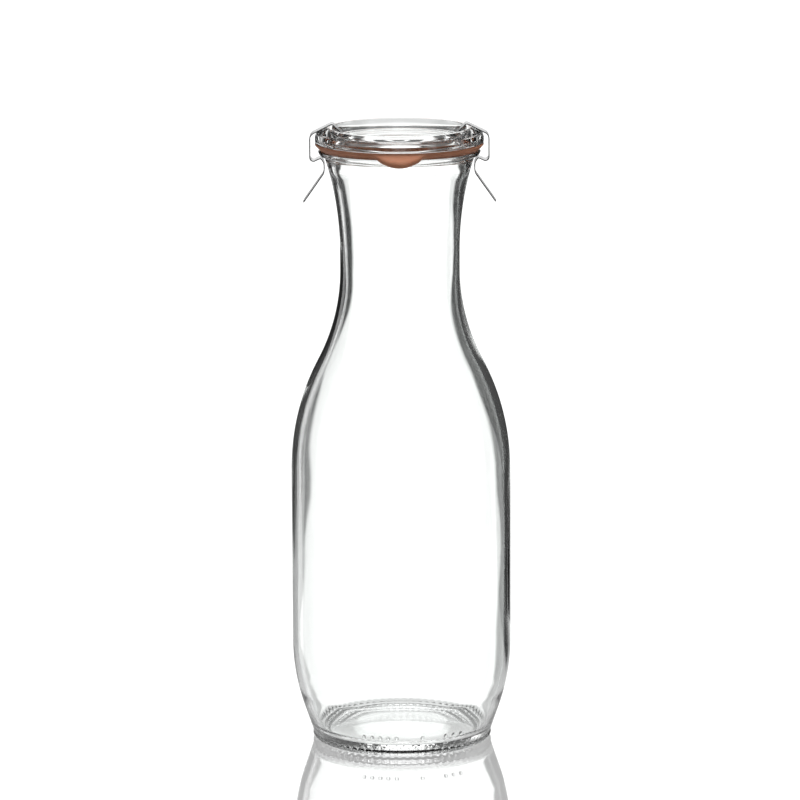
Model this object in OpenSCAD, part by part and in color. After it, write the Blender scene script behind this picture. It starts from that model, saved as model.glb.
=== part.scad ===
// Clear glass carafe bottle with a flat glass lid, a rubber sealing ring
// and two stainless spring strip clamps. Millimetres, Z up, base at z = 0,
// bottle axis on Z, pull tab of the ring toward -Y, clamps toward +X and -X.

/* [Bottle body] */
// Outside diameter of the body
body_d = 92; // [88:1:100]
// Height where the straight body turns into the shoulder
shoulder_z = 115; // [105:1:125]
// Radius of the convex shoulder curve
shoulder_r = 100; // [70:1:120]
// Radius of the long heel curve
heel_r = 86; // [60:1:100]
// Height where the heel curve meets the straight body
heel_z = 42; // [36:1:50]
// Slope of the heel at its lower end, degrees
heel_slope = 19; // [14:1:22]
// Wall thickness of the body
wall = 3; // [2.2:0.1:3.6]

/* [Bottle foot] */
// Radius of the rounded foot edge
foot_round = 2.6; // [1.5:0.1:4]
// Width of the flat ring the bottle stands on
bearing_w = 2.4; // [1.5:0.1:4]
// Rise of the underside at the centre
push_up = 3.2; // [2:0.1:7]
// Glass thickness at the middle of the floor
floor_t = 3.2; // [2.5:0.1:7]
// Number of grip ribs moulded round the foot
foot_ribs = 72; // [0:6:72]

/* [Neck and mouth] */
// Outside diameter of the narrowest part of the neck
neck_d = 49.8; // [46:0.1:54]
// Height where the neck becomes straight
neck_z = 200; // [190:1:205]
// Height where the neck starts to flare
flare_z = 207.5; // [205:0.5:212]
// Radius of the flare under the rim
flare_r = 130; // [128:1:150]
// Wall thickness in the neck
neck_wall = 2.6; // [2.2:0.1:3]
// Height of the bottle without its lid
rim_z = 250; // [250:1:252]
// Outside diameter of the rim bead
rim_d = 67.2; // [66.8:0.1:67.4]
// Height of the rim bead
rim_h = 2.4; // [2.2:0.1:2.6]
// Rounding of the lower outside edge of the rim bead
rim_round = 1.9; // [1.6:0.1:2]
// Inside diameter of the mouth
bore_d = 54.8; // [54.4:0.1:55.4]

/* [Sealing ring] */
// Inside diameter of the sealing ring
ring_id = 54.8; // [54.2:0.1:56]
// Outside diameter at the top face of the ring
ring_od = 69.8; // [68:0.1:70]
// Outside diameter at the lower face of the ring
ring_low_d = 66.4; // [65:0.1:67]
// Thickness of the ring
ring_t = 2.8; // [2.2:0.1:2.8]
// Half of the width of the pull tab at its root
tab_half = 12; // [9:0.5:14]
// How far the pull tab reaches past the ring
tab_reach = 6.6; // [4:0.1:8]
// Thickness of the pull tab
tab_t = 1.5; // [1.2:0.1:1.8]
// Droop of the pull tab, degrees
tab_droop = 26; // [15:1:30]

/* [Lid] */
// Outside diameter of the lid
lid_d = 70; // [69.6:0.1:70.2]
// Height of the lid ridge above the sealing ring
lid_h = 6.2; // [5.8:0.1:6.2]
// Diameter of the recess floor in the top of the lid
recess_d = 46.4; // [44:0.1:47]
// Depth of the recess in the top of the lid
recess_depth = 3.7; // [3.5:0.1:4.2]
// Diameter of the centring step under the lid
step_d = 52.4; // [50:0.1:52.8]
// Height of the centring step under the lid
step_h = 3.4; // [2:0.1:4]

/* [Clamps] */
// Width of the clamp strip
strip_w = 8; // [6:0.5:9]
// Thickness of the clamp strip
strip_t = 0.5; // [0.4:0.05:0.5]
// Radius at the inner end of the clamp on the lid
clamp_in_r = 23.4; // [23:0.1:23.4]
// Radius of the upright part of the clamp
clamp_out_r = 37.05; // [37:0.05:38]
// Radius reached by the finger tab of the clamp
clamp_tab_r = 39.9; // [38:0.1:42]
// Length of the finger tab below the rim
clamp_tab_drop = 21.4; // [16:0.1:24]

/* [Hidden] */
body_r = body_d / 2;
neck_r = neck_d / 2;
rim_r = rim_d / 2;
bore_r = bore_d / 2;
waist = body_r - neck_r;
rise = neck_z - shoulder_z;
curve_sum = (waist * waist + rise * rise) / (2 * waist);
throat_r = curve_sum - shoulder_r;
curve_a = asin(rise / curve_sum);
bead_z = rim_z - rim_h;
flare_top = bead_z - 0.4;
flare_a = asin((flare_top - flare_z) / flare_r);
bore_flare_r = flare_r + neck_wall;
bore_flare_a = acos(1 - (bore_r - neck_r + neck_wall) / bore_flare_r);
heel_end_r = body_r - heel_r * (1 - cos(heel_slope));
heel_end_z = heel_z - heel_r * sin(heel_slope);
foot_drop = heel_end_z - foot_round * (1 + sin(heel_slope));
foot_r = heel_end_r - foot_drop * tan(heel_slope);
bearing_r = foot_r - foot_round * cos(heel_slope);
bearing_in = bearing_r - bearing_w;
rib_x = bearing_r + (foot_round + 0.35) * cos(50);
rib_z = foot_round - (foot_round + 0.35) * sin(50);
floor_top = push_up + floor_t;
ring_z = rim_z + 0.1;
ring_top = ring_z + ring_t;
lid_z = ring_top + 0.1;
lid_top = lid_z + lid_h;
lid_r = lid_d / 2;
recess_r = recess_d / 2;
recess_z = lid_top - recess_depth;
step_r = step_d / 2;
clamp_top = lid_top + 1.9;
clamp_low = bead_z - 0.9;
clamp_hook_r = rim_r - 0.8;
glass = [0.86, 0.92, 0.9, 0.45];
rubber = [0.8, 0.43, 0.28];
steel = [0.72, 0.73, 0.75];

// One arc as a list of points, centre c, radius r, from angle a to angle b.
function arc(c, r, a, b, n) =
    [for (i = [0 : n]) c + r * [cos(a + (b - a) * i / n), sin(a + (b - a) * i / n)]];

// Outside of the bottle from the bearing ring up to the middle of the rim.
function bottle_outside() = concat(
    [[0, push_up], [bearing_in * 0.55, push_up * 0.86], [bearing_in * 0.85, push_up * 0.45]],
    [[bearing_in, 0]],
    arc([bearing_r, foot_round], foot_round, -90, -heel_slope, 6),
    arc([body_r - heel_r, heel_z], heel_r, -heel_slope, 0, 7),
    arc([body_r - shoulder_r, shoulder_z], shoulder_r, 0, curve_a, 8),
    arc([neck_r + throat_r, neck_z], throat_r, 180 + curve_a, 180, 8),
    arc([neck_r + flare_r, flare_z], flare_r, 180, 180 - flare_a, 6),
    [[rim_r - rim_round - 0.3, bead_z]],
    arc([rim_r - rim_round, bead_z + rim_round], rim_round, -90, 0, 6),
    arc([rim_r - 0.5, rim_z - 0.5], 0.5, 0, 90, 4)
);

// Inside of the bottle from the edge of the mouth down to the floor.
function bottle_inside() = concat(
    arc([bore_r + 0.6, rim_z - 0.6], 0.6, 90, 180, 4),
    arc([neck_r + flare_r, flare_z], bore_flare_r, 180 - bore_flare_a, 180, 5),
    [for (i = [0 : 8]) [neck_r + throat_r, neck_z] - (throat_r + neck_wall + (wall - neck_wall) * i / 8)
        * [cos(curve_a * i / 8), sin(curve_a * i / 8)]],
    arc([body_r - shoulder_r, shoulder_z], shoulder_r - wall, curve_a, 0, 8),
    arc([body_r - heel_r, heel_z], heel_r - wall, 0, -heel_slope * 0.8, 5),
    arc([heel_end_r - 9.84, floor_top + 3.65], 5, -heel_slope, -76, 5),
    [[bearing_in * 0.55, floor_top - 0.45], [0, floor_top]]
);

module bottle() {
    color(glass) difference() {
        rotate_extrude($fn = 72) polygon(concat(bottle_outside(), bottle_inside()));
        if (foot_ribs > 0)
            for (i = [0 : foot_ribs - 1]) rotate([0, 0, (i + 0.5) * 360 / foot_ribs])
                translate([rib_x, 0, rib_z]) rotate([0, 50, 0])
                    cylinder(r = 0.6, h = 2.6, center = true, $fn = 16);
    }
}

module sealing_ring() {
    color(rubber) union() {
        rotate_extrude($fn = 90) polygon([
            [ring_id / 2, ring_z],
            [ring_low_d / 2, ring_z],
            [ring_od / 2, ring_top - 0.7],
            [ring_od / 2, ring_top],
            [ring_id / 2, ring_top]
        ]);
        difference() {
            intersection() {
                translate([0, 0, rim_z - 6]) linear_extrude(height = 6 + ring_top - rim_z - 0.3)
                    polygon(concat(tab_outline(), [[-tab_half, -30.6], [tab_half, -30.6]]));
                translate([0, -ring_od / 2, ring_top - 0.5]) rotate([tab_droop, 0, 0])
                    translate([-20, -20, -tab_t]) cube([40, 40, tab_t]);
            }
            translate([0, 0, rim_z - 10]) cylinder(r = rim_r + 0.4, h = 10.3, $fn = 90);
        }
    }
}

// Outline of the pull tab from above, a smooth bell standing out from the ring.
function tab_outline() = [for (i = [-8 : 8]) let (x = -tab_half * i / 8)
    [x, -sqrt(pow(ring_od / 2 - 0.3, 2) - x * x) - tab_reach * (0.5 + 0.5 * cos(22.5 * i))]];

module lid() {
    color(glass) rotate_extrude($fn = 90) polygon(concat(
        [[0, lid_z - step_h + 0.8]],
        [[step_r - 5, lid_z - step_h]],
        arc([step_r - 0.8, lid_z - step_h + 0.8], 0.8, -90, 0, 4),
        [[step_r, lid_z - 0.2], [step_r + 0.4, lid_z]],
        arc([lid_r - 0.7, lid_z + 0.7], 0.7, -90, 0, 4),
        [[lid_r, lid_z + 2.6]],
        arc([lid_r - 1.4, lid_top - 2.5], 1, 0, 65, 4),
        arc([lid_r - 5.4, lid_top - 1.2], 1.2, 65, 90, 3),
        arc([recess_r + 5.4, lid_top - 1.2], 1.2, 90, 136, 4),
        arc([recess_r + 1.4, recess_z + 1], 1, -44, -90, 4),
        [[recess_r - 4, recess_z - 0.2], [0, recess_z - 0.2]]
    ));
}

// Middle line of the clamp strip, radius from the bottle axis and height.
function clamp_line() = concat(
    [[clamp_in_r, lid_top - 2.45]],
    arc([27.95, clamp_top - 1], 0.8, 128, 70, 3),
    arc([clamp_out_r - 3, lid_top - 4.6], 3, 62, 0, 5),
    arc([clamp_out_r - 1.5, clamp_low + 0.45], 1.5, 0, -108, 6),
    arc([clamp_hook_r, clamp_low - 0.8], 0.8, 75, 150, 4),
    [[31.3, clamp_low - 1.7], [31.15, clamp_low - 2.8], [31.2, clamp_low - 5.8]],
    [[clamp_tab_r, clamp_low - clamp_tab_drop + 3]]
);

module strip_piece(p, q) {
    run = q - p;
    translate(p) rotate(atan2(run[1], run[0])) translate([0, -strip_t / 2]) square([norm(run), strip_t]);
}

// One clamp lying on the +X side, one bent strip of constant width.
module clamp() {
    line = clamp_line();
    color(steel) rotate([90, 0, 0]) linear_extrude(height = strip_w, center = true) union() {
        for (i = [0 : len(line) - 2]) strip_piece(line[i], line[i + 1]);
        for (p = line) translate(p) circle(d = strip_t, $fn = 16);
    }
}

module clamp_right() {
    clamp();
}

module clamp_left() {
    rotate([0, 0, 180]) clamp();
}

bottle();
lid();
sealing_ring();
clamp_left();
clamp_right();
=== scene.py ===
import math

import bpy
from mathutils import Euler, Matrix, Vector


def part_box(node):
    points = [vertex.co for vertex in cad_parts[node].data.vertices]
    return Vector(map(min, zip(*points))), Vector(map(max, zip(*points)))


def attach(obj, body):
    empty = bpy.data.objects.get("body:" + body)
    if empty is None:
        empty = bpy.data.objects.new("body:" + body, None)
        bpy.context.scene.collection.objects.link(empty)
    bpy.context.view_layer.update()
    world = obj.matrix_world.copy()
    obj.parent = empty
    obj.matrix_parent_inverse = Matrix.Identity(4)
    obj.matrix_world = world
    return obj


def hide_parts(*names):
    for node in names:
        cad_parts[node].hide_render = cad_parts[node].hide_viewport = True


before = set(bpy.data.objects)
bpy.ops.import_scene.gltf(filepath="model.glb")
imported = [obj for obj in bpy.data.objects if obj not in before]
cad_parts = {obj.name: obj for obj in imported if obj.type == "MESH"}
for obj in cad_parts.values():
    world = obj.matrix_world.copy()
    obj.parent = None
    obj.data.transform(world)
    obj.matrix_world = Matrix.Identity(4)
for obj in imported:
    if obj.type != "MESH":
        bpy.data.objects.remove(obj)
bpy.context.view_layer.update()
MM = 0.001

# ---------------------------------------------------------------- sizes, all in millimetres
# The body's width and the tops of the rim, the ring and the lid come from the frame. Angles are in degrees.
bottle_low, bottle_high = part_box("bottle")
BODY_R = (bottle_high[0] - bottle_low[0]) / 2 / MM
RIM_Z = bottle_high[2] / MM
RING_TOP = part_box("sealing_ring")[1][2] / MM
LID_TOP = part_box("lid")[1][2] / MM

# Body: straight wall between the heel and the shoulder, both long arcs
SHOULDER_Z, SHOULDER_R = 115.0, 100.0
HEEL_R, HEEL_Z, HEEL_SLOPE = 86.0, 42.0, 19.0
WALL, NECK_WALL = 2.4, 2.2
HEEL_INSIDE_SHARE, FLOOR_CORNER_R = 0.8, 5.0

# Foot: the ring it stands on, the hollow underside, the ribs, and a row of dots above them
FOOT_ROUND, BEARING_W, BEARING_EDGE = 2.6, 2.4, 0.5
PUSH_UP, FLOOR_T = 3.2, 3.2
FOOT_RIBS, RIB_DEPTH, RIB_TOP, RIB_FADE_LOW, RIB_FADE_HIGH = 72, 0.5, 4.5, 0.5, 1.6
DOT_Z, DOT_R, DOT_H, DOT_STEP = 8.65, 0.8, 0.45, 5.15
DOT_PLACES = (-4.6, -3.6, -2.6, -1.65, -0.65, 2.4, 5.3, 6.35, 7.4)
DOT_GRID, DOT_HALF_TURN = 5, 1.25

# Neck, flare and rim
NECK_R, NECK_Z, FLARE_Z, FLARE_R = 24.9, 200.0, 207.5, 130.0
RIM_R, RIM_H, RIM_ROUND, RIM_TOP_ROUND = 33.6, 2.4, 1.9, 0.5
BORE_R, MOUTH_ROUND = 27.4, 0.6
BEAD_Z = RIM_Z - RIM_H

# The inside is wavy from above the heel up to below the mouth
WAVE_LOW, WAVE_HIGH, WAVE_FADE_LOW, WAVE_FADE_HIGH = 22.0, 236.0, 18.0, 14.0

# Sealing ring and its pull tab
RING_Z = RIM_Z + 0.1
RING_IN, RING_MID, RING_OUT, RING_LOW = 27.4, 30.0, 34.9, 33.2
RING_EDGE, RING_ROUND = 0.3, 0.25
TAB_HALF, TAB_REACH, TAB_T, TAB_DROOP, TAB_DROP = 12.4, 6.6, 1.5, 27.0, 0.45
TAB_FULL = 2.5

# Lid: a ridge round a recess on top, and a centring step below
LID_Z, LID_R, LID_EDGE = LID_TOP - 6.2, 35.0, 0.7
RIDGE_ROUND, RECESS_R, RECESS_Z = 1.2, 23.2, LID_TOP - 3.7
STEP_R, STEP_Z, STEP_ROUND = 26.2, LID_Z - 3.4, 0.8

# Clamps: the strip, the radii and heights that it runs through, and the radii of its bends
STRIP_W, STRIP_T, STRIP_EDGE, STRIP_CORNER = 8.0, 0.4, 0.09, 1.9
CLAMP_IN, CLAMP_LIP, CLAMP_OUT, CLAMP_GRIP, CLAMP_TAB = 23.4, 27.95, 37.05, 31.2, 39.9
CLAMP_TOP, CLAMP_LOW, CLAMP_TAB_FALL = LID_TOP + 1.9, BEAD_Z - 0.9, 18.4
LIP_BEND, OUTER_BEND, HOOK_BEND, GRIP_BEND = 0.8, 3.0, 1.5, 0.8
SHARP_FOLD = 38


def arc(cx, cz, r, a, b, n):
    """Points of one arc, from angle a to angle b in degrees."""
    pts = []
    for i in range(n + 1):
        t = math.radians(a + (b - a) * i / n)
        pts.append((cx + r * math.cos(t), cz + r * math.sin(t)))
    return pts


def line(p, q, n):
    """n points from p towards q, with q itself left out."""
    return [(p[0] + (q[0] - p[0]) * i / n, p[1] + (q[1] - p[1]) * i / n) for i in range(n)]


def even_turns(n):
    """n angles spread evenly round the axis."""
    return [2 * math.pi * c / n for c in range(n)]


def mesh_object(name, verts, faces, node, material):
    """A smooth-shaded piece that takes the place of the CAD node and rides on the body of the same name."""
    mesh = bpy.data.meshes.new(name)
    mesh.from_pydata([tuple(c * MM for c in v) for v in verts], [], faces)
    mesh.validate()
    mesh.update()
    for p in mesh.polygons:
        p.use_smooth = True
    ob = bpy.data.objects.new(name, mesh)
    bpy.context.scene.collection.objects.link(ob)
    ob.data.materials.append(material)
    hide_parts(node)
    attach(ob, node)
    return ob


def lathe(profile, turns, shape=None):
    """Turns a closed profile round Z, one column per angle in turns. Its first and last points lie on the
    axis. shape(r, z, row, angle) may give a point another radius."""
    verts, faces = [], []
    columns = len(turns)
    rows = profile[1:-1]
    verts.append((0.0, 0.0, profile[0][1]))
    for k, (r, z) in enumerate(rows):
        for a in turns:
            radius = shape(r, z, k + 1, a) if shape else r
            verts.append((radius * math.cos(a), radius * math.sin(a), z))
    verts.append((0.0, 0.0, profile[-1][1]))
    last = len(verts) - 1
    for c in range(columns):
        d = (c + 1) % columns
        faces.append((0, 1 + d, 1 + c))
        for k in range(len(rows) - 1):
            a0, b0 = 1 + k * columns, 1 + (k + 1) * columns
            faces.append((a0 + c, a0 + d, b0 + d, b0 + c))
        e = 1 + (len(rows) - 1) * columns
        faces.append((last, e + c, e + d))
    return verts, faces


# ---------------------------------------------------------------- materials
def new_material(name):
    """A node material, its node tree and its Principled shader."""
    m = bpy.data.materials.new(name)
    m.use_nodes = True
    nt = m.node_tree
    return m, nt, nt.nodes["Principled BSDF"]


def add(nt, kind, **values):
    """A new node of the given kind, with its settings."""
    n = nt.nodes.new(kind)
    for k, v in values.items():
        setattr(n, k, v)
    return n


def ramp(nt, stops):
    """A colour ramp with the given (position, colour) stops."""
    n = nt.nodes.new("ShaderNodeValToRGB")
    while len(n.color_ramp.elements) < len(stops):
        n.color_ramp.elements.new(0.5)
    for e, (pos, col) in zip(n.color_ramp.elements, stops):
        e.position = pos
        e.color = (*col, 1.0)
    return n


def glass_material(name, clear, mid, edge, edge_shade_from):
    """Clear pressed glass. Its base colour darkens to near black where the surface is seen edge-on: painted
    edge shade, for the dark edge lines that surroundings give thick glass.
    """
    m, nt, b = new_material(name)
    # Painted edge shade: the facing value turns the base colour dark at grazing angles.
    lw = add(nt, "ShaderNodeLayerWeight")
    lw.inputs["Blend"].default_value = 0.5
    r = ramp(nt, [(0.0, clear), (edge_shade_from, clear), ((edge_shade_from + 1) / 2, mid), (1.0, edge)])
    nt.links.new(lw.outputs["Facing"], r.inputs["Fac"])
    tc = add(nt, "ShaderNodeTexCoord")
    cloud = add(nt, "ShaderNodeTexNoise")
    cloud.inputs["Scale"].default_value = 26.0
    cloud.inputs["Detail"].default_value = 2.0
    nt.links.new(tc.outputs["Object"], cloud.inputs["Vector"])
    tint = ramp(nt, [(0.3, (0.985, 0.992, 0.988)), (0.7, (1.0, 1.0, 1.0))])
    nt.links.new(cloud.outputs["Fac"], tint.inputs["Fac"])
    mix = add(nt, "ShaderNodeMix", data_type="RGBA", blend_type="MULTIPLY")
    mix.inputs["Factor"].default_value = 1.0
    nt.links.new(r.outputs["Color"], mix.inputs[6])
    nt.links.new(tint.outputs["Color"], mix.inputs[7])
    nt.links.new(mix.outputs[2], b.inputs["Base Color"])
    wave = add(nt, "ShaderNodeTexNoise")
    wave.inputs["Scale"].default_value = 60.0
    wave.inputs["Detail"].default_value = 1.0
    nt.links.new(tc.outputs["Object"], wave.inputs["Vector"])
    bump = add(nt, "ShaderNodeBump")
    bump.inputs["Strength"].default_value = 0.05
    bump.inputs["Distance"].default_value = 0.0006
    nt.links.new(wave.outputs["Fac"], bump.inputs["Height"])
    nt.links.new(bump.outputs["Normal"], b.inputs["Normal"])
    b.inputs["Transmission Weight"].default_value = 1.0
    b.inputs["Roughness"].default_value = 0.0
    b.inputs["IOR"].default_value = 1.5
    return m


def rubber_material():
    m, nt, b = new_material("natural_rubber")
    tc = add(nt, "ShaderNodeTexCoord")
    cloud = add(nt, "ShaderNodeTexNoise")
    cloud.inputs["Scale"].default_value = 140.0
    cloud.inputs["Detail"].default_value = 4.0
    nt.links.new(tc.outputs["Object"], cloud.inputs["Vector"])
    r = ramp(nt, [(0.3, (0.5, 0.205, 0.115)), (0.7, (0.58, 0.255, 0.15))])
    nt.links.new(cloud.outputs["Fac"], r.inputs["Fac"])
    nt.links.new(r.outputs["Color"], b.inputs["Base Color"])
    grain = add(nt, "ShaderNodeTexNoise")
    grain.inputs["Scale"].default_value = 2600.0
    grain.inputs["Detail"].default_value = 3.0
    nt.links.new(tc.outputs["Object"], grain.inputs["Vector"])
    rough = ramp(nt, [(0.3, (0.42, 0.42, 0.42)), (0.7, (0.58, 0.58, 0.58))])
    nt.links.new(grain.outputs["Fac"], rough.inputs["Fac"])
    nt.links.new(rough.outputs["Color"], b.inputs["Roughness"])
    bump = add(nt, "ShaderNodeBump")
    bump.inputs["Strength"].default_value = 0.25
    bump.inputs["Distance"].default_value = 0.0001
    nt.links.new(grain.outputs["Fac"], bump.inputs["Height"])
    nt.links.new(bump.outputs["Normal"], b.inputs["Normal"])
    b.inputs["Specular IOR Level"].default_value = 0.25
    b.inputs["Subsurface Weight"].default_value = 0.12
    b.inputs["Subsurface Radius"].default_value = (0.9, 0.35, 0.2)
    b.inputs["Subsurface Scale"].default_value = 0.0012
    return m


def steel_material(name, light, dark, rough_low, rough_high):
    """Bright rolled spring steel: fine lines along the rolling direction and slight cloudiness."""
    m, nt, b = new_material(name)
    tc = add(nt, "ShaderNodeTexCoord")
    mp = add(nt, "ShaderNodeMapping")
    mp.inputs["Scale"].default_value = (120.0, 4200.0, 120.0)
    nt.links.new(tc.outputs["Object"], mp.inputs["Vector"])
    lines = add(nt, "ShaderNodeTexNoise")
    lines.inputs["Scale"].default_value = 1.0
    lines.inputs["Detail"].default_value = 4.0
    nt.links.new(mp.outputs["Vector"], lines.inputs["Vector"])
    r = ramp(nt, [(0.3, dark), (0.7, light)])
    nt.links.new(lines.outputs["Fac"], r.inputs["Fac"])
    nt.links.new(r.outputs["Color"], b.inputs["Base Color"])
    rough = ramp(nt, [(0.3, (rough_low,) * 3), (0.7, (rough_high,) * 3)])
    nt.links.new(lines.outputs["Fac"], rough.inputs["Fac"])
    nt.links.new(rough.outputs["Color"], b.inputs["Roughness"])
    bump = add(nt, "ShaderNodeBump")
    bump.inputs["Strength"].default_value = 0.15
    bump.inputs["Distance"].default_value = 0.00003
    nt.links.new(lines.outputs["Fac"], bump.inputs["Height"])
    nt.links.new(bump.outputs["Normal"], b.inputs["Normal"])
    b.inputs["Metallic"].default_value = 1.0
    return m


# Both glasses get painted edge shade: their base colour goes to the dark edge colour where the surface is seen
# edge-on.
BOTTLE_GLASS = glass_material(
    "bottle_glass", clear=(0.985, 0.993, 0.989), mid=(0.8, 0.84, 0.825), edge=(0.05, 0.065, 0.062),
    edge_shade_from=0.74)
LID_GLASS = glass_material(
    "lid_glass", clear=(0.975, 0.985, 0.981), mid=(0.82, 0.86, 0.845), edge=(0.06, 0.08, 0.078),
    edge_shade_from=0.76)
RUBBER = rubber_material()
STEEL = steel_material("spring_steel", (0.21, 0.21, 0.215), (0.14, 0.14, 0.144), 0.14, 0.28)
# A near-black copy of the steel for the strip's cut edges: painted shade for the dark edge lines.
STEEL_EDGE_SHADE = steel_material("spring_steel_edge_painted_shade", (0.035, 0.035, 0.036), (0.02, 0.02, 0.021), 0.3, 0.45)


# ---------------------------------------------------------------- bottle
def underside(bear_in, bear):
    """The hollow underside, from its middle out to the flat ring that the bottle stands on."""
    shares = [(0.0, 1.0), (0.3, 0.97), (0.55, 0.86), (0.75, 0.64), (0.88, 0.38)]
    pts = [(bear_in * across, PUSH_UP * up) for across, up in shares]
    pts += [(bear_in * 0.95, 0.75)]
    pts += arc(bear_in + BEARING_EDGE, BEARING_EDGE, BEARING_EDGE, 200, 270, 3)
    return pts + [(bear - 0.6, 0.0)]


def bottle_profile():
    """The closed outline: up the outside, over the rim, and down the inside to the middle of the floor. Also
    the rows from the foot to the dotted band, the rows of the dotted band, and the row where the inside
    starts."""
    waist, rise = BODY_R - NECK_R, NECK_Z - SHOULDER_Z
    total = (waist * waist + rise * rise) / (2 * waist)
    throat = total - SHOULDER_R
    curve = math.degrees(math.asin(rise / total))
    flare_top = BEAD_Z - 0.4
    flare = math.degrees(math.asin((flare_top - FLARE_Z) / FLARE_R))
    flare_top_r = NECK_R + FLARE_R * (1 - math.cos(math.radians(flare)))
    bore = math.degrees(math.acos(1 - (BORE_R - NECK_R + NECK_WALL) / (FLARE_R + NECK_WALL)))
    slope = math.radians(HEEL_SLOPE)
    end_r = BODY_R - HEEL_R * (1 - math.cos(slope))
    end_z = HEEL_Z - HEEL_R * math.sin(slope)
    foot_r = end_r - (end_z - FOOT_ROUND * (1 + math.sin(slope))) * math.tan(slope)
    bear = foot_r - FOOT_ROUND * math.cos(slope)
    bear_in = bear - BEARING_W
    body_axis_r, throat_r, flare_axis_r = BODY_R - SHOULDER_R, NECK_R + throat, NECK_R + FLARE_R

    # The outside, from the foot to the top of the rim
    out = underside(bear_in, bear)
    foot_row = len(out)
    out += arc(bear, FOOT_ROUND, FOOT_ROUND, -90, -HEEL_SLOPE, 10)
    dot_row = len(out)
    heights = [2.5, 3.3, 4.1, 4.9, DOT_Z - 2.2]
    heights += [DOT_Z + DOT_R * i / 4 for i in range(-DOT_GRID, DOT_GRID + 1)]
    heights += [DOT_Z + 2.2]
    out += [(end_r - (end_z - z) * math.tan(slope), z) for z in heights]
    dot_end_row = len(out)
    out += arc(BODY_R - HEEL_R, HEEL_Z, HEEL_R, -HEEL_SLOPE, 0, 10)
    out += line((BODY_R, HEEL_Z), (BODY_R, SHOULDER_Z), 10)[1:]
    out += arc(body_axis_r, SHOULDER_Z, SHOULDER_R, 0, curve, 16)
    out += arc(throat_r, NECK_Z, throat, 180 + curve, 180, 14)[1:]
    out += line((NECK_R, NECK_Z), (NECK_R, FLARE_Z), 2)[1:]
    out += arc(flare_axis_r, FLARE_Z, FLARE_R, 180, 180 - flare, 12)
    out += [(flare_top_r + 0.12, flare_top + 0.25), (flare_top_r + 0.35, BEAD_Z - 0.02)]
    out += arc(RIM_R - RIM_ROUND, BEAD_Z + RIM_ROUND, RIM_ROUND, -90, 0, 10)
    out += arc(RIM_R - RIM_TOP_ROUND, RIM_Z - RIM_TOP_ROUND, RIM_TOP_ROUND, 0, 90, 5)
    out += line((RIM_R - RIM_TOP_ROUND, RIM_Z), (BORE_R + MOUTH_ROUND, RIM_Z), 4)[1:]

    # The inside, from the mouth down to the floor
    out += arc(BORE_R + MOUTH_ROUND, RIM_Z - MOUTH_ROUND, MOUTH_ROUND, 90, 180, 5)
    inside_row = len(out) - 1
    out += arc(flare_axis_r, FLARE_Z, FLARE_R + NECK_WALL, 180 - bore, 180, 12)
    steps = 16
    for i in range(1, steps + 1):
        t = math.radians(curve * i / steps)
        inner = throat + NECK_WALL + (WALL - NECK_WALL) * i / steps
        out.append((throat_r - inner * math.cos(t), NECK_Z - inner * math.sin(t)))
    out += arc(body_axis_r, SHOULDER_Z, SHOULDER_R - WALL, curve, 0, 16)[1:]
    out += line((BODY_R - WALL, SHOULDER_Z), (BODY_R - WALL, HEEL_Z), 12)[1:]
    out += arc(BODY_R - HEEL_R, HEEL_Z, HEEL_R - WALL, 0, -HEEL_SLOPE * HEEL_INSIDE_SHARE, 10)
    floor_z = PUSH_UP + FLOOR_T
    out += arc(end_r - 9.84, floor_z + 3.65, FLOOR_CORNER_R, -HEEL_SLOPE, -76, 9)
    out += [(bear_in * across, floor_z - drop) for across, drop in ((0.78, 0.82), (0.55, 0.45), (0.3, 0.12))]
    out += [(0.0, floor_z)]
    return out, (foot_row, dot_end_row), (dot_row, dot_end_row), inside_row


def dot_turns():
    """The angle of each moulded dot, on the front of the heel."""
    return [math.radians(270 + place * DOT_STEP) for place in DOT_PLACES]


def bottle_turns():
    """Even columns for the ribs, with closer ones across each dot."""
    turns = set(round(a, 6) for a in even_turns(FOOT_RIBS * 6))
    for dot in dot_turns():
        spread = [math.radians(DOT_HALF_TURN * i / 4) for i in range(-DOT_GRID, DOT_GRID + 1)]
        turns |= set(round(dot + s, 6) for s in spread)
    turns = sorted(turns)
    return [t for i, t in enumerate(turns) if i == 0 or t - turns[i - 1] > 0.001]


def rib_notch(z, a):
    """How deep the foot is cut between two ribs, fading out at both ends of the rib."""
    fade = min(1.0, z / RIB_FADE_LOW) * min(1.0, (RIB_TOP - z) / RIB_FADE_HIGH)
    return RIB_DEPTH * fade * max(0.0, math.sin(a * FOOT_RIBS + 0.3)) ** 0.8


def inner_wave(z, a):
    """The slight unevenness of the inner face, as blown glass has it."""
    low = max(0.0, min(1.0, (z - WAVE_LOW) / WAVE_FADE_LOW))
    high = max(0.0, min(1.0, (WAVE_HIGH - z) / WAVE_FADE_HIGH))
    wave = 0.2 * math.sin(2 * a + z * 0.035) + 0.12 * math.sin(3 * a - z * 0.06 + 1.3)
    wave += 0.12 * math.sin(z * 0.085 + 0.8 + 1.5 * math.sin(a + 0.6)) + 0.05 * math.sin(z * 0.16 + 2 * a)
    return low * high * wave


def make_bottle():
    profile, ribbed, dotted, inside_row = bottle_profile()
    dots = dot_turns()

    def shape(r, z, row, a):
        if ribbed[0] <= row < ribbed[1] and z < RIB_TOP:
            return r - rib_notch(z, a)
        if dotted[0] <= row < dotted[1]:
            for dot in dots:
                far = math.hypot(r * math.sin(a - dot), (z - DOT_Z) / math.cos(math.radians(HEEL_SLOPE)))
                if math.cos(a - dot) > 0 and far < DOT_R:
                    return r + DOT_H * math.sqrt(1 - (far / DOT_R) ** 2)
            return r
        if row >= inside_row:
            return r + inner_wave(z, a)
        return r

    verts, faces = lathe(profile, bottle_turns(), shape)
    return mesh_object("bottle_shell", verts, faces, "bottle", BOTTLE_GLASS)


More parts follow.
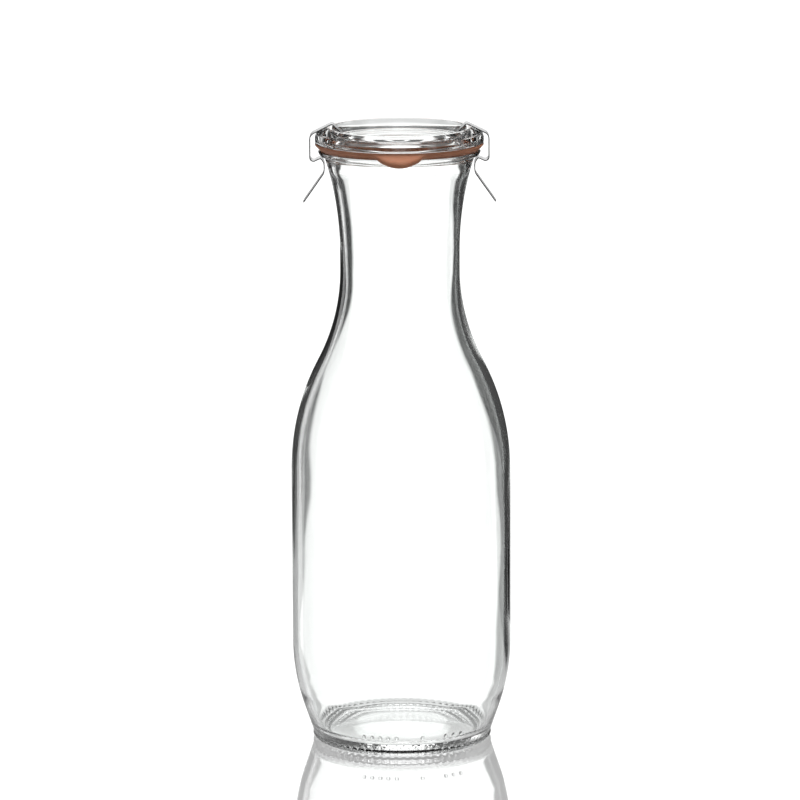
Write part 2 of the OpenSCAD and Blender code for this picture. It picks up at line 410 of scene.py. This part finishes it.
# ---------------------------------------------------------------- lid
def make_lid():
    # Underside of the centring step, its side, and the flat face that lies on the ring
    p = [(0.0, STEP_Z + 0.12), (12.0, STEP_Z + 0.1), (STEP_R - 6.5, STEP_Z + 0.03), (STEP_R - 4.5, STEP_Z)]
    p += arc(STEP_R - STEP_ROUND, STEP_Z + STEP_ROUND, STEP_ROUND, -90, 0, 6)
    p += [(STEP_R, LID_Z - 0.35), (STEP_R + 0.12, LID_Z - 0.1), (STEP_R + 0.4, LID_Z)]
    p += line((STEP_R + 0.9, LID_Z), (LID_R - LID_EDGE, LID_Z), 4)
    # Outer edge and the ridge
    p += arc(LID_R - LID_EDGE, LID_Z + LID_EDGE, LID_EDGE, -90, 0, 6)
    p += [(LID_R, LID_Z + 1.6), (LID_R - 0.02, LID_Z + 2.6)]
    p += arc(LID_R - 1.4, LID_TOP - 2.5, 1.0, 0, 65, 6)
    p += line((LID_R - 2.2, LID_TOP - 1.28), (LID_R - 4.4, LID_TOP - 0.26), 3)[1:]
    p += arc(LID_R - 5.4, LID_TOP - RIDGE_ROUND, RIDGE_ROUND, 65, 90, 4)
    # Down into the recess
    p += arc(RECESS_R + 5.4, LID_TOP - RIDGE_ROUND, RIDGE_ROUND, 90, 136, 6)
    p += arc(RECESS_R + 1.4, RECESS_Z + 1.0, 1.0, -44, -90, 6)
    p += [(RECESS_R - 1.0, RECESS_Z - 0.08), (RECESS_R - 4.0, RECESS_Z - 0.14)]
    p += [(12.0, RECESS_Z - 0.18), (0.0, RECESS_Z - 0.2)]
    verts, faces = lathe(p, even_turns(240))
    return mesh_object("lid_disc", verts, faces, "lid", LID_GLASS)


# ---------------------------------------------------------------- sealing ring
def ring_section(reach):
    """The section of the ring where the pull tab stands out by reach: the inner face, the lower face, the
    outer edge or the tab, and the top."""
    droop = math.radians(TAB_DROOP)
    share = min(1.0, reach / TAB_FULL)
    top_r, top_z = RING_OUT, RING_TOP - RING_ROUND
    low_r, low_z = RING_LOW, RING_Z + RING_ROUND
    tip_r, tip_z = top_r + reach * math.cos(droop), top_z - TAB_DROP - reach * math.sin(droop)
    under_r = low_r + (tip_r - TAB_T * 0.45 - low_r) * share
    under_z = low_z + (tip_z - TAB_T - low_z) * share
    fall = top_z - TAB_DROP - tip_z
    section = [(RING_IN, RING_Z + RING_EDGE), (RING_IN + RING_EDGE, RING_Z), (RING_MID, RING_Z)]
    section += [(low_r - 0.4, RING_Z), (low_r, low_z)]
    section += [((low_r + under_r) / 2, (low_z + under_z) / 2 + 0.001), (under_r, under_z)]
    section += [((tip_r + under_r) / 2 + 0.28 * share, (tip_z + under_z) / 2), (tip_r, tip_z)]
    section += [(top_r + (tip_r - top_r) * 0.66, top_z - (0.3 + fall * 0.62) + 0.1 * share)]
    section += [(top_r + (tip_r - top_r) * 0.3, top_z - (0.15 + fall * 0.24) + 0.1 * share)]
    section += [(top_r, top_z), (top_r - RING_ROUND, RING_TOP), (RING_MID, RING_TOP)]
    return section + [(RING_IN + RING_EDGE, RING_TOP), (RING_IN, RING_TOP - RING_EDGE)]


def make_ring():
    turns = even_turns(320)
    verts, faces = [], []
    for a in turns:
        across, forward = math.cos(a), -math.sin(a)
        x = RING_OUT * across
        bell = 0.0
        if forward > 0 and abs(x) < TAB_HALF:
            bell = (0.5 + 0.5 * math.cos(math.pi * x / TAB_HALF)) ** 0.82
        section = ring_section(TAB_REACH * bell)
        verts += [(r * across, -r * forward, z) for r, z in section]
    rows = len(section)
    for c in range(len(turns)):
        d = (c + 1) % len(turns)
        for k in range(rows):
            j = (k + 1) % rows
            faces.append((c * rows + k, d * rows + k, d * rows + j, c * rows + j))
    return mesh_object("rubber_ring", verts, faces, "sealing_ring", RUBBER)


# ---------------------------------------------------------------- clamps
def clamp_path():
    """Middle line of the strip, finely divided: up out of the recess, over the lid, down past the rim, in
    under its bead, and out again along the finger tab."""
    p = [(CLAMP_IN, LID_TOP - 2.45)]
    p += arc(CLAMP_LIP, CLAMP_TOP - 1.0, LIP_BEND, 128, 70, 6)
    p += arc(CLAMP_OUT - OUTER_BEND, LID_TOP - 4.6, OUTER_BEND, 62, 0, 9)
    p += arc(CLAMP_OUT - HOOK_BEND, CLAMP_LOW + 0.45, HOOK_BEND, 0, -108, 10)
    p += arc(RIM_R - GRIP_BEND, CLAMP_LOW - GRIP_BEND, GRIP_BEND, 75, 150, 7)
    drops = [(0.1, 1.7), (-0.05, 2.8), (-0.07, 4.3), (0.0, 5.4), (0.18, 6.1), (0.55, 6.8)]
    p += [(CLAMP_GRIP + aside, CLAMP_LOW - down) for aside, down in drops]
    p += [(CLAMP_TAB, CLAMP_LOW - CLAMP_TAB_FALL)]
    fine = []
    for a, b in zip(p[:-1], p[1:]):
        fine += line(a, b, max(1, int(math.dist(a, b) / 0.9)))
    return fine + [p[-1]]


def strip_stations():
    """Points along the middle line as (distance run, (r, z)), closer together at the two rounded ends."""
    path = clamp_path()
    run = [0.0]
    for a, b in zip(path[:-1], path[1:]):
        run.append(run[-1] + math.dist(a, b))
    total = run[-1]
    near_ends = [end for s in (0.12, 0.35, 0.7, 1.15, 1.6) for end in (s, total - s)]
    stations = []
    for s in sorted(set(run + near_ends)):
        i = next((k for k in range(len(run) - 1) if run[k + 1] >= s), len(run) - 2)
        (r0, z0), (r1, z1) = path[i], path[i + 1]
        t = (s - run[i]) / max(1e-9, run[i + 1] - run[i])
        stations.append((s, (r0 + (r1 - r0) * t, z0 + (z1 - z0) * t)))
    return stations, total


def strip_section(w):
    """The strip's section as (across, out from the middle line), with its edges broken."""
    h, e = STRIP_T / 2, STRIP_EDGE
    lower = [(-w, -h + e), (-w + e, -h), (w - e, -h), (w, -h + e)]
    return lower + [(w, h - e), (w - e, h), (-w + e, h), (-w, h - e)]


def make_clamp(name, node, side):
    stations, total = strip_stations()
    points = [point for s, point in stations]
    last = len(points) - 1
    verts, faces, cut = [], [], []
    for k, (s, (r, z)) in enumerate(stations):
        a, b = points[max(0, k - 1)], points[min(last, k + 1)]
        d = math.dist(a, b)
        nx, nz = -(b[1] - a[1]) / d, (b[0] - a[0]) / d
        near = min(s, total - s)
        w = STRIP_W / 2
        if near < STRIP_CORNER:
            w -= STRIP_CORNER - math.sqrt(max(0.0, STRIP_CORNER ** 2 - (STRIP_CORNER - near) ** 2))
        for y, o in strip_section(w):
            verts.append((side * (r + nx * o), side * y, z + nz * o))
    for k in range(last):
        for j in range(8):
            i = (j + 1) % 8
            faces.append((k * 8 + j, k * 8 + i, (k + 1) * 8 + i, (k + 1) * 8 + j))
            cut.append(j not in (1, 5))
    faces.append(tuple(range(8)))
    faces.append(tuple(reversed(range(last * 8, (last + 1) * 8))))
    cut += [True, True]
    # The narrow sides, bevels and ends take the near-black copy of the steel: painted shade.
    ob = mesh_object(name, verts, faces, node, STEEL)
    ob.data.materials.append(STEEL_EDGE_SHADE)
    for p, is_cut in zip(ob.data.polygons, cut):
        if is_cut:
            p.material_index = 1
    ob.data.set_sharp_from_angle(angle=math.radians(SHARP_FOLD))
    return ob


# ---------------------------------------------------------------- stage, in metres and degrees
# The camera sees a plain white floor and plain white surroundings. Glass and metal show white panels with dark
# gaps between them, and a floor that is white only along strips, as dark cards round a bottle would do it.
WIDE_HALF, NARROW_HALF, NARROW_TURN, PANEL_SOFT, GAP_LIGHT = 9.5, 6.5, 135, 1.2, 0.05
FLOOR_SIZE, FLOOR_Z = 14.0, -0.00002
FLOOR_GLOW, FLOOR_DULL, FLOOR_DARK, FLOOR_SOFT = 1.05, 0.2, 0.01, 0.08
FLOOR_GLOSS, FLOOR_GLOSS_RISE, FLOOR_IOR = 0.42, 0.9, 1.9
CROSS_HALF, CROSS_NEAR, CROSS_SPREAD, SLANT_HALF, FLOOR_BLUR = 0.2, 0.06, 0.3, 0.09, 0.01
WORLD_STRENGTH, SUN_STRENGTH, SUN_SPREAD, SUN_TILT = 1.55, 4.0, 50, (-28, 6)
CAMERA_PLACE = (-0.00025, -1.935, 0.5254)
CAMERA_TILT, CAMERA_ROLL = 11.144, 0.28
CAMERA_SENSOR, CAMERA_LENS = 36.0, 212.265


def past_panel(nt, vector):
    """How far a direction is turned past the edge of the nearest white panel. Four wide panels stand round
    the table, with two narrow ones opposite each other between them."""
    sep = add(nt, "ShaderNodeSeparateXYZ")
    nt.links.new(vector, sep.inputs["Vector"])
    turn = maths(nt, "ARCTAN2", sep.outputs["Y"], sep.outputs["X"])
    wide = maths(nt, "SUBTRACT", maths(nt, "PINGPONG", turn, math.radians(45)), math.radians(WIDE_HALF))
    across = maths(nt, "PINGPONG", maths(nt, "SUBTRACT", turn, math.radians(NARROW_TURN)), math.radians(90))
    narrow = maths(nt, "SUBTRACT", across, math.radians(NARROW_HALF))
    return maths(nt, "MINIMUM", wide, narrow)


def maths(nt, op, a, b):
    """The result of a maths node on two sockets or numbers."""
    n = add(nt, "ShaderNodeMath", operation=op)
    for i, v in enumerate((a, b)):
        if isinstance(v, (int, float)):
            n.inputs[i].default_value = v
        else:
            nt.links.new(v, n.inputs[i])
    return n.outputs[0]


def sharp_rays(nt):
    """Two values: 1 for light mirrored by or carried through the pieces and 0 for the camera's own view and
    soft light, and 1 for soft light alone."""
    path = add(nt, "ShaderNodeLightPath")
    seen = maths(nt, "MAXIMUM", path.outputs["Is Camera Ray"], path.outputs["Is Diffuse Ray"])
    return maths(nt, "SUBTRACT", 1.0, seen), path.outputs["Is Diffuse Ray"]


def floor_strips(nt):
    """1 on the white strips of the floor and nearly 0 beside them: a cross along X and Y whose arms widen
    away from the bottle, and one slanting strip."""
    tc = add(nt, "ShaderNodeTexCoord")
    sep = add(nt, "ShaderNodeSeparateXYZ")
    nt.links.new(tc.outputs["Object"], sep.inputs["Vector"])
    away = [maths(nt, "ABSOLUTE", sep.outputs[k], 0.0) for k in ("X", "Y")]
    side = maths(nt, "MINIMUM", *away)
    reach = maths(nt, "MULTIPLY", maths(nt, "MAXIMUM", *away), CROSS_SPREAD)
    cross = maths(nt, "SUBTRACT", maths(nt, "SUBTRACT", side, reach), CROSS_NEAR)
    cross = maths(nt, "MAXIMUM", cross, maths(nt, "SUBTRACT", side, CROSS_HALF))
    slant = maths(nt, "ABSOLUTE", maths(nt, "ADD", sep.outputs["X"], sep.outputs["Y"]), 0.0)
    slant = maths(nt, "SUBTRACT", maths(nt, "MULTIPLY", slant, math.sqrt(0.5)), SLANT_HALF)
    aside = add(nt, "ShaderNodeMapRange", interpolation_type="SMOOTHSTEP")
    nt.links.new(maths(nt, "MINIMUM", cross, slant), aside.inputs["Value"])
    aside.inputs["From Min"].default_value = -FLOOR_BLUR
    aside.inputs["From Max"].default_value = FLOOR_BLUR
    aside.inputs["To Min"].default_value = 1.0
    aside.inputs["To Max"].default_value = FLOOR_DARK
    return aside.outputs["Result"]


def floor_material():
    """A polished white table top. It reflects more at a low angle."""
    m, nt, b = new_material("floor_gloss_white")
    nt.nodes.remove(b)
    out = next(n for n in nt.nodes if n.type == "OUTPUT_MATERIAL")
    sharp, soft = sharp_rays(nt)
    soft = maths(nt, "SUBTRACT", 1.0, maths(nt, "MULTIPLY", soft, 1.0 - FLOOR_SOFT))
    pick = add(nt, "ShaderNodeMix", data_type="FLOAT")
    nt.links.new(sharp, pick.inputs[0])
    nt.links.new(soft, pick.inputs[2])
    nt.links.new(floor_strips(nt), pick.inputs[3])
    grey = add(nt, "ShaderNodeCombineColor")
    for i in range(3):
        nt.links.new(pick.outputs[0], grey.inputs[i])
    glow = add(nt, "ShaderNodeEmission")
    nt.links.new(grey.outputs[0], glow.inputs["Color"])
    glow.inputs["Strength"].default_value = FLOOR_GLOW
    dull = add(nt, "ShaderNodeBsdfDiffuse")
    tone = add(nt, "ShaderNodeMix", data_type="RGBA", blend_type="MULTIPLY")
    tone.inputs["Factor"].default_value = 1.0
    nt.links.new(grey.outputs[0], tone.inputs[6])
    tone.inputs[7].default_value = (*(FLOOR_DULL,) * 3, 1.0)
    nt.links.new(tone.outputs[2], dull.inputs["Color"])
    both = add(nt, "ShaderNodeAddShader")
    nt.links.new(glow.outputs[0], both.inputs[0])
    nt.links.new(dull.outputs[0], both.inputs[1])
    gloss = add(nt, "ShaderNodeBsdfGlossy")
    gloss.inputs["Roughness"].default_value = 0.02
    fres = add(nt, "ShaderNodeFresnel")
    fres.inputs["IOR"].default_value = FLOOR_IOR
    share = maths(nt, "MULTIPLY_ADD", fres.outputs[0], FLOOR_GLOSS_RISE)
    share.node.inputs[2].default_value = FLOOR_GLOSS
    mix = add(nt, "ShaderNodeMixShader")
    nt.links.new(share, mix.inputs[0])
    nt.links.new(both.outputs[0], mix.inputs[1])
    nt.links.new(gloss.outputs[0], mix.inputs[2])
    nt.links.new(mix.outputs[0], out.inputs["Surface"])
    return m


def make_floor():
    s = FLOOR_SIZE
    mesh = bpy.data.meshes.new("floor")
    mesh.from_pydata([(-s, -s, 0), (s, -s, 0), (s, s, 0), (-s, s, 0)], [], [(0, 1, 2, 3)])
    ob = bpy.data.objects.new("floor", mesh)
    bpy.context.scene.collection.objects.link(ob)
    ob.location.z = FLOOR_Z
    ob.data.materials.append(floor_material())


def make_world():
    """Plain white for the camera, a bright top with dim sides for soft light, and the panel studio for glass
    and metal."""
    world = bpy.data.worlds.new("studio")
    bpy.context.scene.world = world
    world.use_nodes = True
    nt = world.node_tree
    bg = nt.nodes["Background"]
    tc = add(nt, "ShaderNodeTexCoord")
    edge = add(nt, "ShaderNodeMapRange", interpolation_type="SMOOTHSTEP")
    edge.inputs["From Min"].default_value = math.radians(-PANEL_SOFT)
    edge.inputs["From Max"].default_value = math.radians(PANEL_SOFT)
    edge.inputs["To Min"].default_value = 1.0
    edge.inputs["To Max"].default_value = GAP_LIGHT
    nt.links.new(past_panel(nt, tc.outputs["Generated"]), edge.inputs["Value"])
    wall = add(nt, "ShaderNodeCombineColor")
    for i in range(3):
        nt.links.new(edge.outputs["Result"], wall.inputs[i])
    sep = add(nt, "ShaderNodeSeparateXYZ")
    nt.links.new(tc.outputs["Generated"], sep.inputs["Vector"])
    high = ramp(nt, [(0.0, (0, 0, 0)), (0.45, (0, 0, 0)), (0.55, (1, 1, 1)), (1.0, (1, 1, 1))])
    nt.links.new(sep.outputs["Z"], high.inputs["Fac"])
    roof = ramp(nt, [(0.0, (0.08,) * 3), (0.78, (0.12,) * 3), (0.88, (1.0,) * 3), (1.0, (1.0,) * 3)])
    nt.links.new(sep.outputs["Z"], roof.inputs["Fac"])
    room = add(nt, "ShaderNodeMix", data_type="RGBA")
    nt.links.new(high.outputs["Color"], room.inputs["Factor"])
    nt.links.new(wall.outputs[0], room.inputs[6])
    nt.links.new(roof.outputs["Color"], room.inputs[7])
    even = ramp(nt, [(0.0, (0.02,) * 3), (0.6, (0.03,) * 3), (0.9, (0.7,) * 3), (1.0, (0.7,) * 3)])
    nt.links.new(sep.outputs["Z"], even.inputs["Fac"])
    sharp, soft = sharp_rays(nt)
    plain = add(nt, "ShaderNodeMix", data_type="RGBA")
    nt.links.new(soft, plain.inputs["Factor"])
    plain.inputs[6].default_value = (1.0, 1.0, 1.0, 1.0)
    nt.links.new(even.outputs["Color"], plain.inputs[7])
    mix = add(nt, "ShaderNodeMix", data_type="RGBA")
    nt.links.new(sharp, mix.inputs["Factor"])
    nt.links.new(plain.outputs[2], mix.inputs[6])
    nt.links.new(room.outputs[2], mix.inputs[7])
    nt.links.new(mix.outputs[2], bg.inputs["Color"])
    bg.inputs["Strength"].default_value = WORLD_STRENGTH


def make_sun():
    """Wide soft light from above, which shows no glint in glass or metal."""
    sun = bpy.data.lights.new("soft_top", "SUN")
    sun.energy = SUN_STRENGTH
    sun.angle = math.radians(SUN_SPREAD)
    ob = bpy.data.objects.new("soft_top", sun)
    ob.rotation_euler = Euler((math.radians(SUN_TILT[0]), math.radians(SUN_TILT[1]), 0))
    ob.visible_glossy = False
    ob.visible_transmission = False
    bpy.context.scene.collection.objects.link(ob)


def make_camera():
    cam = bpy.data.cameras.new("camera")
    cam.sensor_width = CAMERA_SENSOR
    cam.lens = CAMERA_LENS
    cam.clip_start, cam.clip_end = 0.1, 60.0
    ob = bpy.data.objects.new("camera", cam)
    bpy.context.scene.collection.objects.link(ob)
    ob.rotation_mode = "QUATERNION"
    level = Euler((math.radians(90) - math.radians(CAMERA_TILT), 0, 0)).to_quaternion()
    spin = Euler((0, 0, -math.radians(CAMERA_ROLL))).to_quaternion()
    ob.rotation_quaternion = level @ spin
    ob.location = CAMERA_PLACE
    bpy.context.scene.camera = ob


def make_view():
    """Plain colours, and enough bounces for light that passes many glass walls."""
    scene = bpy.context.scene
    scene.view_settings.view_transform = "Standard"
    scene.view_settings.look = "None"
    scene.cycles.max_bounces = 24
    scene.cycles.transmission_bounces = 20
    scene.cycles.glossy_bounces = 8


make_bottle()
make_lid()
make_ring()
make_clamp("clamp_strip_right", "clamp_right", 1)
make_clamp("clamp_strip_left", "clamp_left", -1)
make_floor()
make_world()
make_sun()
make_camera()
make_view()
